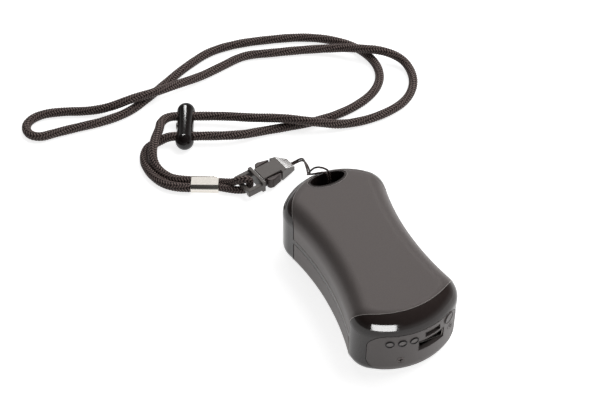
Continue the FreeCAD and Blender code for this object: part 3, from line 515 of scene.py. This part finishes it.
# %% Bight
BIGHT_RADIUS = 2.0 * MM
BIGHT_RELIEF = 0.26 * MM
BIGHT_POINTS = [
    (-34.503, 88.511, 2.7), (-31.9, 86.4, 3.2), (-29.2, 83.5, 4.7), (-27.2, 81.2, 7.5),
    (-24.6, 79.9, 8.1), (-22.6, 79.7, 7.2), (-22.1, 79.5, 4.7), (-22.9, 79.2, 2.2),
    (-25.6, 78.8, 2.1), (-29.5, 80.6, 2.2), (-33.0, 83.2, 2.4), (-36.092, 85.280, 2.6),
]
bight, bight_line = braided_cord("cord_bight_braid", smooth_line(BIGHT_POINTS), BIGHT_RADIUS, BIGHT_RELIEF)
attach(bight, "case")
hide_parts("cord_bight")
print("bight: %.3f m" % line_length(bight_line))

# %% [markdown]
# The thin string runs from the buckle's tip to the lanyard hole. It is one string doubled,
# so it is drawn as two strands that lie round each other and part a little where they are
# hitched at the hole. Each strand has three plies, as a shallow wave round its rings.

# %% Twisted string
STRING_RADIUS = 0.5 * MM
STRAND_RADIUS = 0.48 * MM
STRAND_AROUND = 12
STRAND_TURN = 110 * MM
STRAND_APART = 0.5 * MM
HITCH_APART = 1.1 * MM
HITCH_PLACE = 0.78
HITCH_SPREAD = 0.07
STRING_STEP = 0.25 * MM
STRING_LAY = 2.0 * MM
STRING_PLIES = 3
PLY_RELIEF = 0.08
PLY_SHADE = 0.3
STRING_POINTS = [
    (1.693, 84.314, 2.9), (5.3, 85.009, 2.9), (6.9, 82.6, 6.0), (5.6, 76.8, 10.5),
    (3.2, 69.6, 15.5), (0.4, 61.6, 20.6), (-2.6, 54.6, 25.6), (-4.6, 51.2, 30.2),
    (-4.2, 48.4, 33.8), (-1.6, 46.0, 36.0), (1.4, 43.4, 36.4), (2.2, 42.9, 31.4),
    (2.2, 43.1, 26.6),
]
string_line, string_along = even_line(smooth_line(STRING_POINTS), STRING_STEP)
string_sides, string_ups = ring_frames(string_line)
string_share = string_along / string_along[-1]
apart = STRAND_APART + HITCH_APART * np.exp(-((string_share - HITCH_PLACE) / HITCH_SPREAD) ** 2)
turn = 2 * math.pi * string_along / STRAND_TURN
to_side = (string_sides * np.cos(turn)[:, None] + string_ups * np.sin(turn)[:, None]) * apart[:, None]
around = np.arange(STRAND_AROUND) / STRAND_AROUND
plies = np.cos(2 * math.pi * (STRING_PLIES * around[None, :] + string_along[:, None] / STRING_LAY))
strand_radii = STRAND_RADIUS * (1 - PLY_RELIEF + PLY_RELIEF * plies)
strands = [tube_points(string_line + way * to_side, strand_radii) for way in (1, -1)]
strand_faces = skin(*strand_radii.shape)
strand_faces += [tuple(i + len(strands[0]) for i in face) for face in strand_faces]
string = new_piece("tether_string_twist", np.concatenate(strands), strand_faces, polyester)
# The ply heights feed the braid's colour ramp, so the string has painted shade between its plies and is
# lighter on their crowns.
string_stitches = string.data.attributes.new("stitch", "FLOAT", "POINT")
ply_shade_heights = np.tile(PLY_SHADE * (1 + plies), (len(strands), 1))
string_stitches.data.foreach_set("value", ply_shade_heights.astype(np.float32).ravel())
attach(string, "case")
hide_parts("tether_string")
print("string: %.3f m" % line_length(string_line))

# %% [markdown]
# The ferrule is a drawn metal sleeve, pressed to a flat oval round the two cord ends. Its
# rims are rolled in, so each ring of the loft is the oval drawn in by a little more. A
# flattened cylinder would be an ellipse, which lacks the straight runs between the rounds.

# %% Ferrule sleeve
FERRULE_AROUND = 72
FERRULE_START = Vector((-47.5, 92.9, 2.6)) * MM
FERRULE_HEADING = math.radians(-26.2)
FERRULE_LENGTH = 13.6 * MM
FERRULE_WIDTH = 9.4 * MM
FERRULE_HEIGHT = 5.2 * MM
RIM_ROUND = 0.35 * MM
RIM_STEPS = 5


def oval(width, height, count):
    """Points of a flat oval: two half circles joined by straight runs, evenly spaced."""
    radius = height / 2
    straight = width - height
    half_circle = math.pi * radius
    points = []
    for i in range(count):
        at = i / count * (2 * straight + 2 * half_circle)
        side = 1 if at < straight + half_circle else -1
        at = at if side == 1 else at - straight - half_circle
        if at < straight:
            points.append((side * (straight / 2 - at), side * radius))
        else:
            turn = math.pi / 2 + (at - straight) / radius
            points.append((side * (-straight / 2 + radius * math.cos(turn)), side * radius * math.sin(turn)))
    return points


ferrule_ahead = Vector((math.cos(FERRULE_HEADING), math.sin(FERRULE_HEADING), 0.0))
ferrule_side = Vector((-math.sin(FERRULE_HEADING), math.cos(FERRULE_HEADING), 0.0))
rim = [math.pi / 2 * i / RIM_STEPS for i in range(RIM_STEPS + 1)]
sections = [(RIM_ROUND * (1 - math.sin(a)), RIM_ROUND * (1 - math.cos(a))) for a in reversed(rim)]
sections += [(FERRULE_LENGTH - at, inset) for at, inset in reversed(sections)]
ferrule_points = []
for at, inset in sections:
    for across, up in oval(FERRULE_WIDTH - 2 * inset, FERRULE_HEIGHT - 2 * inset, FERRULE_AROUND):
        ferrule_points.append(FERRULE_START + ferrule_ahead * at + ferrule_side * across + Vector((0, 0, up)))
ferrule = new_piece("ferrule_sleeve", ferrule_points, skin(len(sections), FERRULE_AROUND), bright_nickel)
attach(ferrule, "case")
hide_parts("cord_ferrule")
print("ferrule:", len(sections), "rings")

# %% [markdown]
# The thickness of each cord, from its radius. The ferrule and the slider sit on the neck cord.

# %% Facts of the cords
thicknesses = [round(2 * radius / MM, 2) for radius in (CORD_RADIUS, BIGHT_RADIUS, STRING_RADIUS)]
print("cord, bight and string:", thicknesses, "mm thick")

# %% [markdown]
# Moulded edges are never sharp. Each buckle piece is a copy of its solid with doubles merged
# and flat faces joined, then a small bevel with normals weighted to the flat faces. Between
# the edges the copy keeps the solid's sizes exactly.

# %% Rounded buckle
MERGE_DISTANCE = 0.001 * MM
FLAT_ANGLE = math.radians(2)
BUCKLE_ROUND = 0.3 * MM
ROUND_SEGMENTS = 3
BUCKLE_PIECES = {
    "buckle_plug": ("case", acetal), "buckle_socket": ("case", acetal),
    "buckle_prong_left": ("prong_left", grip_acetal), "buckle_prong_right": ("prong_right", grip_acetal),
}


def merged(name):
    """A bmesh of a solid with its loose triangles joined."""
    solid = bmesh.new()
    solid.from_mesh(nodes[name].data)
    bmesh.ops.remove_doubles(solid, verts=solid.verts, dist=MERGE_DISTANCE)
    return solid


def keep_mesh(holder):
    """Turns what an object's modifiers make into its plain mesh."""
    mesh = made_mesh(holder)
    holder.modifiers.clear()
    holder.data = mesh


rounded_buckle = []
for name, (body, material) in BUCKLE_PIECES.items():
    solid = merged(name)
    bmesh.ops.dissolve_limit(solid, angle_limit=FLAT_ANGLE, verts=solid.verts, edges=solid.edges)
    mesh = bpy.data.meshes.new(name + "_rounded")
    solid.to_mesh(mesh)
    solid.free()
    mesh.materials.append(material)
    mesh.shade_smooth()
    piece = placed(name + "_rounded", mesh)
    bevel = piece.modifiers.new("edge", "BEVEL")
    bevel.width = BUCKLE_ROUND
    bevel.segments = ROUND_SEGMENTS
    bevel.limit_method = "ANGLE"
    weighted = piece.modifiers.new("normals", "WEIGHTED_NORMAL")
    weighted.keep_sharp = True
    keep_mesh(piece)
    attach(piece, body)
    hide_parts(name)
    rounded_buckle.append(piece)
    print(piece.name, len(piece.data.polygons), "faces")

# %% [markdown]
# Where the covers, the end plate, the eyelet and the socket shells end, the real edge is
# broken by a fine round that catches the light as a thin line. Only edges that can be seen
# need one. A ray goes out from the middle of each sharp edge, and if it meets nothing of the
# case, that edge looks out. Edges down at the table are left as they are.

# %% Edges that look out
LEAST_EDGE_ANGLE = math.radians(35)
LEAST_EDGE_HEIGHT = 0.3 * MM
CASE_NODES = ["front_cover", "rear_cover", "case_frame", "end_plate", "lanyard_eyelet"]
RAY_START = 0.08 * MM
RAY_REACH = 60 * MM

case_points = []
case_faces = []
for name in CASE_NODES:
    first = len(case_points)
    case_points += [v.co.copy() for v in nodes[name].data.vertices]
    case_faces += [[first + i for i in face.vertices] for face in nodes[name].data.polygons]
case_rays = BVHTree.FromPolygons(case_points, case_faces)
print("rays against", len(case_faces), "faces")


def seen_edges(name):
    """Mesh of a solid's sharp outer edges that look out of the case."""
    solid = merged(name)
    points = []
    pairs = []
    for edge in solid.edges:
        if len(edge.link_faces) != 2 or not edge.is_convex or edge.calc_face_angle() < LEAST_EDGE_ANGLE:
            continue
        out = (edge.link_faces[0].normal + edge.link_faces[1].normal).normalized()
        middle = (edge.verts[0].co + edge.verts[1].co) / 2
        if middle.z < LEAST_EDGE_HEIGHT:
            continue
        if case_rays.ray_cast(middle + out * RAY_START, out, RAY_REACH)[0] is None:
            pairs.append((len(points), len(points) + 1))
            points += [edge.verts[0].co.copy(), edge.verts[1].co.copy()]
    solid.free()
    mesh = bpy.data.meshes.new(name + "_edges")
    mesh.from_pydata(points, pairs, [])
    return mesh


# %% [markdown]
# Beads, rings and rows of blocks are all grown by node trees. A tree has named inputs for
# its sizes and its finish, and ends in real geometry, because an export drops instances. The
# modifier's result then becomes the piece's plain mesh.

# %% Node tree helpers


def new_tree(name, sizes):
    """A node tree with a geometry input, named inputs for its sizes and a material input."""
    tree = bpy.data.node_groups.new(name, "GeometryNodeTree")
    tree.interface.new_socket("Geometry", in_out="INPUT", socket_type="NodeSocketGeometry")
    for size in sizes:
        tree.interface.new_socket(size, in_out="INPUT", socket_type="NodeSocketFloat")
    tree.interface.new_socket("Finish", in_out="INPUT", socket_type="NodeSocketMaterial")
    tree.interface.new_socket("Geometry", in_out="OUTPUT", socket_type="NodeSocketGeometry")
    return tree, add(tree, "NodeGroupInput").outputs


def end_tree(tree, geometry, finish):
    """Closes a tree with real geometry, smooth shading and its material."""
    real = add(tree, "GeometryNodeRealizeInstances", links={"Geometry": geometry})
    smooth = add(tree, "GeometryNodeSetShadeSmooth", links={"Geometry": real.outputs["Geometry"]})
    dressed = add(
        tree, "GeometryNodeSetMaterial",
        links={"Geometry": smooth.outputs["Geometry"], "Material": finish},
    )
    add(tree, "NodeGroupOutput", links={"Geometry": dressed.outputs["Geometry"]})


def grow(name, base, tree, inputs):
    """Runs a node tree on a mesh and keeps what it makes as a plain mesh."""
    piece = placed(name, base)
    modifier = piece.modifiers.new("grow", "NODES")
    modifier.node_group = tree
    for socket in tree.interface.items_tree:
        if socket.name in inputs:
            modifier[socket.identifier] = inputs[socket.name]
    keep_mesh(piece)
    return piece


# %% [markdown]
# A bead tree turns the edges into curves and runs a thin circle along them. A bevel could
# round the edge itself, but the solids stay as they are, so the bead lies on the edge.

# %% Edge beads
BEAD_SIDES = 8

bead_tree, given = new_tree("edge_bead", ["Bead radius", "Join distance"])
joined = add(
    bead_tree, "GeometryNodeMergeByDistance",
    links={"Geometry": given["Geometry"], "Distance": given["Join distance"]},
)
edge_curve = add(bead_tree, "GeometryNodeMeshToCurve", links={"Mesh": joined.outputs["Geometry"]})
bead_circle = add(
    bead_tree, "GeometryNodeCurvePrimitiveCircle", values={"Resolution": BEAD_SIDES},
    links={"Radius": given["Bead radius"]},
)
bead = add(
    bead_tree, "GeometryNodeCurveToMesh", values={"Fill Caps": True},
    links={"Curve": edge_curve.outputs["Curve"], "Profile Curve": bead_circle.outputs["Curve"]},
)
end_tree(bead_tree, bead.outputs["Mesh"], given["Finish"])

# Radius, finish and slot of each
BEADS = {
    # The covers' beads carry the paler colour, a painted highlight along each edge.
    "front_cover": (0.15 * MM, pale_edge_highlight, "satin_metal"),
    "rear_cover": (0.15 * MM, pale_edge_highlight, "satin_metal"),
    "end_plate": (0.12 * MM, satin_abs, "satin_plastic"),
    "lanyard_eyelet": (0.14 * MM, polished_abs, "gloss_black"),
    "usb_a_shell": (0.14 * MM, plated_steel, "steel"),
    "micro_usb_shell": (0.1 * MM, plated_steel, "steel"),
}
for name, (radius, material, slot_name) in BEADS.items():
    sizes = {"Bead radius": radius, "Join distance": MERGE_DISTANCE, "Finish": material}
    piece = grow(name + "_bead", seen_edges(name), bead_tree, sizes)
    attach(piece, "case")
    print(piece.name, len(piece.data.polygons), "faces")

# %% [markdown]
# Rings sit round the light windows, on the button and at the slider's spring hole. Their
# places come from the solids: each window is a separate solid of its node, and its ring goes
# on the face that looks out of the curved end.

# %% Places of the rings
END_CENTRE = Vector((0.0, -16.0 * MM, 0.0))
FACE_DEPTH = 0.2 * MM
SLIDER_HEADING = math.radians(-24.0)
SLIDER_WAIST = 4.15 * MM


def islands(name):
    """The separate solids of a node, as lists of their corner points."""
    solid = merged(name)
    left = set(solid.verts)
    found = []
    while left:
        front = [left.pop()]
        group = []
        while front:
            corner = front.pop()
            group.append(corner.co.copy())
            for edge in corner.link_edges:
                other = edge.other_vert(corner)
                if other in left:
                    left.remove(other)
                    front.append(other)
        found.append(group)
    solid.free()
    return found


def outer_face(group):
    """Middle of a solid's face that looks out of the curved end, and the way it looks."""
    middle = Vector(np.mean(group, axis=0))
    way = Vector((middle.x - END_CENTRE.x, middle.y - END_CENTRE.y, 0.0)).normalized()
    reach = max(point.dot(way) for point in group)
    face = [point for point in group if point.dot(way) > reach - FACE_DEPTH]
    return Vector(np.mean(face, axis=0)), way


def ring_points(name, places):
    """Mesh of bare points, each with the way that its ring looks."""
    mesh = bpy.data.meshes.new(name)
    mesh.from_pydata([place for place, way in places], [], [])
    ways = mesh.attributes.new("way", "FLOAT_VECTOR", "POINT")
    for item, (place, way) in zip(ways.data, places):
        item.vector = way
    return mesh


window_faces = [outer_face(group) for group in islands("light_windows")]
button_faces = [outer_face(group) for group in islands("power_button")]
slider_low, slider_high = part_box("cord_slider")
slider_middle = (slider_low + slider_high) / 2
slider_back = Vector((-math.cos(SLIDER_HEADING), -math.sin(SLIDER_HEADING), 0.0))
spring_faces = [(slider_middle + slider_back * SLIDER_WAIST, slider_back)]
print("faces:", len(window_faces), "windows,", len(button_faces), "button,", len(spring_faces), "spring")

# %% [markdown]
# All rings come from one tree, which puts a small torus on each point and turns it to that
# point's way. A ring is a circle swept along a circle, so its two radii are the inputs.

# %% Rings
RING_STEPS = 48
WIRE_SIDES = 12

ring_tree, given = new_tree("rings", ["Ring radius", "Wire radius"])
ring_circle = add(
    ring_tree, "GeometryNodeCurvePrimitiveCircle", values={"Resolution": RING_STEPS},
    links={"Radius": given["Ring radius"]},
)
wire_circle = add(
    ring_tree, "GeometryNodeCurvePrimitiveCircle", values={"Resolution": WIRE_SIDES},
    links={"Radius": given["Wire radius"]},
)
torus = add(
    ring_tree, "GeometryNodeCurveToMesh",
    links={"Curve": ring_circle.outputs["Curve"], "Profile Curve": wire_circle.outputs["Curve"]},
)
way_read = add(ring_tree, "GeometryNodeInputNamedAttribute", {"data_type": "FLOAT_VECTOR"}, {"Name": "way"})
turned = add(
    ring_tree, "FunctionNodeAlignRotationToVector", {"axis": "Z"},
    links={"Vector": way_read.outputs["Attribute"]},
)
placed_rings = add(
    ring_tree, "GeometryNodeInstanceOnPoints",
    links={
        "Points": given["Geometry"], "Instance": torus.outputs["Mesh"],
        "Rotation": turned.outputs["Rotation"],
    },
)
end_tree(ring_tree, placed_rings.outputs["Instances"], given["Finish"])

# Body, places, ring radius, wire radius, finish and slot of each
RINGS = {
    "window_rings": ("case", window_faces, 1.72 * MM, 0.34 * MM, dark_abs, "contact_plastic"),
    "button_ring": ("button", button_faces, 2.7 * MM, 0.15 * MM, dark_abs, "contact_plastic"),
    "slider_spring_ring": ("slider", spring_faces, 1.5 * MM, 0.45 * MM, plated_steel, "steel"),
}
for name, (body, places, radius, wire, material, slot_name) in RINGS.items():
    sizes = {"Ring radius": radius, "Wire radius": wire, "Finish": material}
    piece = grow(name, ring_points(name, places), ring_tree, sizes)
    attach(piece, body)
    print(piece.name, len(places), "rings")

# %% [markdown]
# Both sockets have a row of gold contacts on the tongue, and both wings of the buckle have a
# row of ribs. A tree sets one small block on each point of a line, so the count, the pitch
# and the block's size are inputs. Each row is then turned and moved to its place.

# %% Rows of blocks
BLOCK_FACES = 6

row_tree, given = new_tree("block_row", ["Count", "Pitch", "Width", "Depth", "Height"])
shift = add(row_tree, "ShaderNodeCombineXYZ", links={"X": given["Pitch"]})
row = add(
    row_tree, "GeometryNodeMeshLine", {"mode": "OFFSET"},
    links={"Count": given["Count"], "Offset": shift.outputs["Vector"]},
)
block_size = add(
    row_tree, "ShaderNodeCombineXYZ",
    links={"X": given["Width"], "Y": given["Depth"], "Z": given["Height"]},
)
block = add(row_tree, "GeometryNodeMeshCube", links={"Size": block_size.outputs["Vector"]})
spread = add(
    row_tree, "GeometryNodeInstanceOnPoints",
    links={"Points": row.outputs["Mesh"], "Instance": block.outputs["Mesh"]},
)
end_tree(row_tree, spread.outputs["Instances"], given["Finish"])


def block_row(name, sizes, place, turn, body):
    """Grows a row of blocks, turns it about the vertical and moves it to its place."""
    piece = grow(name, bpy.data.meshes.new(name), row_tree, sizes)
    piece.data.transform(Matrix.Translation(place) @ Matrix.Rotation(turn, 4, "Z"))
    piece.data.shade_flat()
    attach(piece, body)
    print(piece.name, len(piece.data.polygons) // BLOCK_FACES, "blocks")


# %% [markdown]
# The contacts lie on the upper face of each tongue, a little behind its front edge. The box
# of the tongue's solid gives the place.

# %% Contacts
CONTACT_HEIGHT = 0.12 * MM
CONTACT_SETBACK = 0.5 * MM
# Tongue, count, pitch, width, depth and half the tongue's thickness of each
CONTACT_ROWS = {
    "usb_a_contacts": ("usb_a_tongue", 4, 2.3 * MM, 1.1 * MM, 7.0 * MM, 0.95 * MM),
    "micro_usb_contacts": ("micro_usb_tongue", 5, 0.65 * MM, 0.35 * MM, 2.4 * MM, 0.325 * MM),
}
for name, (tongue, count, pitch, width, depth, half_tongue) in CONTACT_ROWS.items():
    sizes = {
        "Count": float(count), "Pitch": pitch, "Width": width, "Depth": depth,
        "Height": CONTACT_HEIGHT, "Finish": contact_gold,
    }
    low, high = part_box(tongue)
    middle = (low + high) / 2
    first = middle.x - pitch * (count - 1) / 2
    place = Vector((first, low.y + CONTACT_SETBACK + depth / 2, middle.z + half_tongue))
    block_row(name, sizes, place, 0.0, "case")

# %% [markdown]
# The ribs stand on the outer side of each wing, where a finger presses, and slope with it.
# They ride on the prong, so they move when it is squeezed.

# %% Grip ribs
BUCKLE_START = Vector((-25.9, 79.0, 4.7)) * MM
BUCKLE_HEADING = math.radians(10.9)
RIB_ALONG = 12.9 * MM
RIB_OUT = 7.15 * MM
RIB_SLOPE = math.radians(15.0)
rib_sizes = {
    "Count": 6.0, "Pitch": 0.85 * MM, "Width": 0.4 * MM, "Depth": 0.5 * MM, "Height": 4.6 * MM,
    "Finish": grip_acetal,
}
for name, body, side in (("grip_ribs_left", "prong_left", 1), ("grip_ribs_right", "prong_right", -1)):
    place = Vector((RIB_ALONG, side * RIB_OUT, 0.0))
    place.rotate(Matrix.Rotation(BUCKLE_HEADING, 3, "Z"))
    turn = BUCKLE_HEADING - side * RIB_SLOPE
    block_row(name, rib_sizes, BUCKLE_START + place, turn, body)

# %% [markdown]
# Light: one large soft lamp above to the right, which leaves the left side of the case dark,
# and a wide dim one above the far side, which the metal and the flat tops mirror. Three more
# only show as reflections, each linked to the few glossy pieces that mirror it, so that the
# satin covers stay plain from every side. One stands in front and makes the bright patch on
# the polished cap, a low one behind makes the buckle's tip shine, and a small one above it
# puts a glint on the slider, which the wide one leaves alone.

# %% Lamps
LAMPS = {
    "key_lamp": {"place": Vector((0.62, 0.1, 0.95)), "width": 0.9, "height": 0.9, "watts": 7.0},
    "top_lamp": {"place": Vector((0.25, 0.72, 0.85)), "width": 1.1, "height": 0.9, "watts": 3.1},
    "front_lamp": {"place": Vector((-0.38, -0.83, 0.28)), "width": 0.49, "height": 0.56, "watts": 19.0},
    "back_lamp": {"place": Vector((0.62, 0.85, 0.19)), "width": 0.5, "height": 0.3, "watts": 12.0},
    "glint_lamp": {"place": Vector((0.083, 0.755, 0.785)), "width": 0.45, "height": 0.12, "watts": 5.0},
}


def soft_lamp(name, place, width, height, watts):
    """A rectangular lamp that faces what the camera looks at."""
    light = bpy.data.lights.new(name, "AREA")
    light.shape = "RECTANGLE"
    light.size = width
    light.size_y = height
    light.energy = watts
    lamp = placed(name, light)
    lamp.location = place
    lamp.rotation_euler = (CAMERA_TARGET - place).to_track_quat("-Z", "Y").to_euler()
    return lamp


def only_mirrored(lamp, pieces):
    """Lets a lamp show only as a reflection, and only in these pieces."""
    lamp.visible_diffuse = False
    group = bpy.data.collections.new(lamp.name + "_pieces")
    for piece in pieces:
        group.objects.link(piece)
    lamp.light_linking.receiver_collection = group


def keep_off(lamp, piece):
    """Keeps a lamp's light off one piece."""
    group = bpy.data.collections.new(lamp.name + "_off")
    group.objects.link(piece)
    group.collection_objects[0].light_linking.link_state = "EXCLUDE"
    lamp.light_linking.receiver_collection = group


lamps = {name: soft_lamp(name, **facts) for name, facts in LAMPS.items()}
lamps["key_lamp"].visible_glossy = False
keep_off(lamps["top_lamp"], nodes["cord_slider"])
only_mirrored(lamps["front_lamp"], [nodes["case_frame"], nodes["lanyard_eyelet"]])
only_mirrored(lamps["back_lamp"], [ferrule] + rounded_buckle)
only_mirrored(lamps["glint_lamp"], [nodes["cord_slider"]])
print("lamps:", len(lamps))

# %% [markdown]
# The sky is pale at the horizon, as the far side of a paper sweep is, and dark overhead and
# to the left. Two ranges say so, one of the height and one of the side, multiplied.

# %% Sky
SKY_HORIZON = 0.75
SKY_TOP = 0.12
SKY_FADE_LOW = 0.08
SKY_FADE_HIGH = 0.45
SKY_LEFT = 0.25
SKY_RIGHT = 1.0
SKY_LEFT_END = -0.7
SKY_RIGHT_START = 0.2
WHITE = linear("#ffffff")

world = bpy.data.worlds.new("studio")
scene.world = world
world.use_nodes = True
tree = world.node_tree
sky_place = add(tree, "ShaderNodeTexCoord")
sky_axes = add(tree, "ShaderNodeSeparateXYZ", links={"Vector": sky_place.outputs["Generated"]})
sky_level = add(
    tree, "ShaderNodeMapRange",
    values={"From Min": SKY_FADE_LOW, "From Max": SKY_FADE_HIGH, "To Min": SKY_HORIZON, "To Max": SKY_TOP},
    links={"Value": sky_axes.outputs["Z"]},
)
sky_side = add(
    tree, "ShaderNodeMapRange",
    values={"From Min": SKY_LEFT_END, "From Max": SKY_RIGHT_START, "To Min": SKY_LEFT, "To Max": SKY_RIGHT},
    links={"Value": sky_axes.outputs["X"]},
)
sky = add(
    tree, "ShaderNodeMath", {"operation": "MULTIPLY"},
    links={0: sky_level.outputs["Result"], 1: sky_side.outputs["Result"]},
)
background = tree.nodes["Background"]
background.inputs["Color"].default_value = WHITE
tree.links.new(sky.outputs["Value"], background.inputs["Strength"])
print("sky:", SKY_HORIZON, "at the horizon,", SKY_TOP, "overhead")

# %% [markdown]
# The floor is white paper. To the camera, and in what mirrors it, it glows a little on top of
# its own light, so that it is white away from the object and still holds the soft shadow.

# %% Floor
FLOOR_SIZE = 6.0
FLOOR_GLOW = 0.82

half_floor = FLOOR_SIZE / 2
floor_corners = [(-half_floor, -half_floor, 0), (half_floor, -half_floor, 0),
                 (half_floor, half_floor, 0), (-half_floor, half_floor, 0)]
paper, tree, shader = new_finish("white_paper", "#dadada", 0.9, {"Specular IOR Level": 0.0})
rays = add(tree, "ShaderNodeLightPath")
mirrored = add(
    tree, "ShaderNodeMath", {"operation": "MAXIMUM"},
    links={0: rays.outputs["Is Camera Ray"], 1: rays.outputs["Is Glossy Ray"]},
)
shown = add(
    tree, "ShaderNodeMath", {"operation": "MAXIMUM"},
    links={0: mirrored.outputs["Value"], 1: rays.outputs["Is Transmission Ray"]},
)
glow = add(
    tree, "ShaderNodeMath", {"operation": "MULTIPLY"}, {1: FLOOR_GLOW}, {0: shown.outputs["Value"]},
)
shader.inputs["Emission Color"].default_value = WHITE
tree.links.new(glow.outputs["Value"], shader.inputs["Emission Strength"])
floor = new_piece("floor", floor_corners, [(0, 1, 2, 3)], paper)
scene.view_settings.view_transform = "Standard"
print("floor:", FLOOR_SIZE, "m wide")
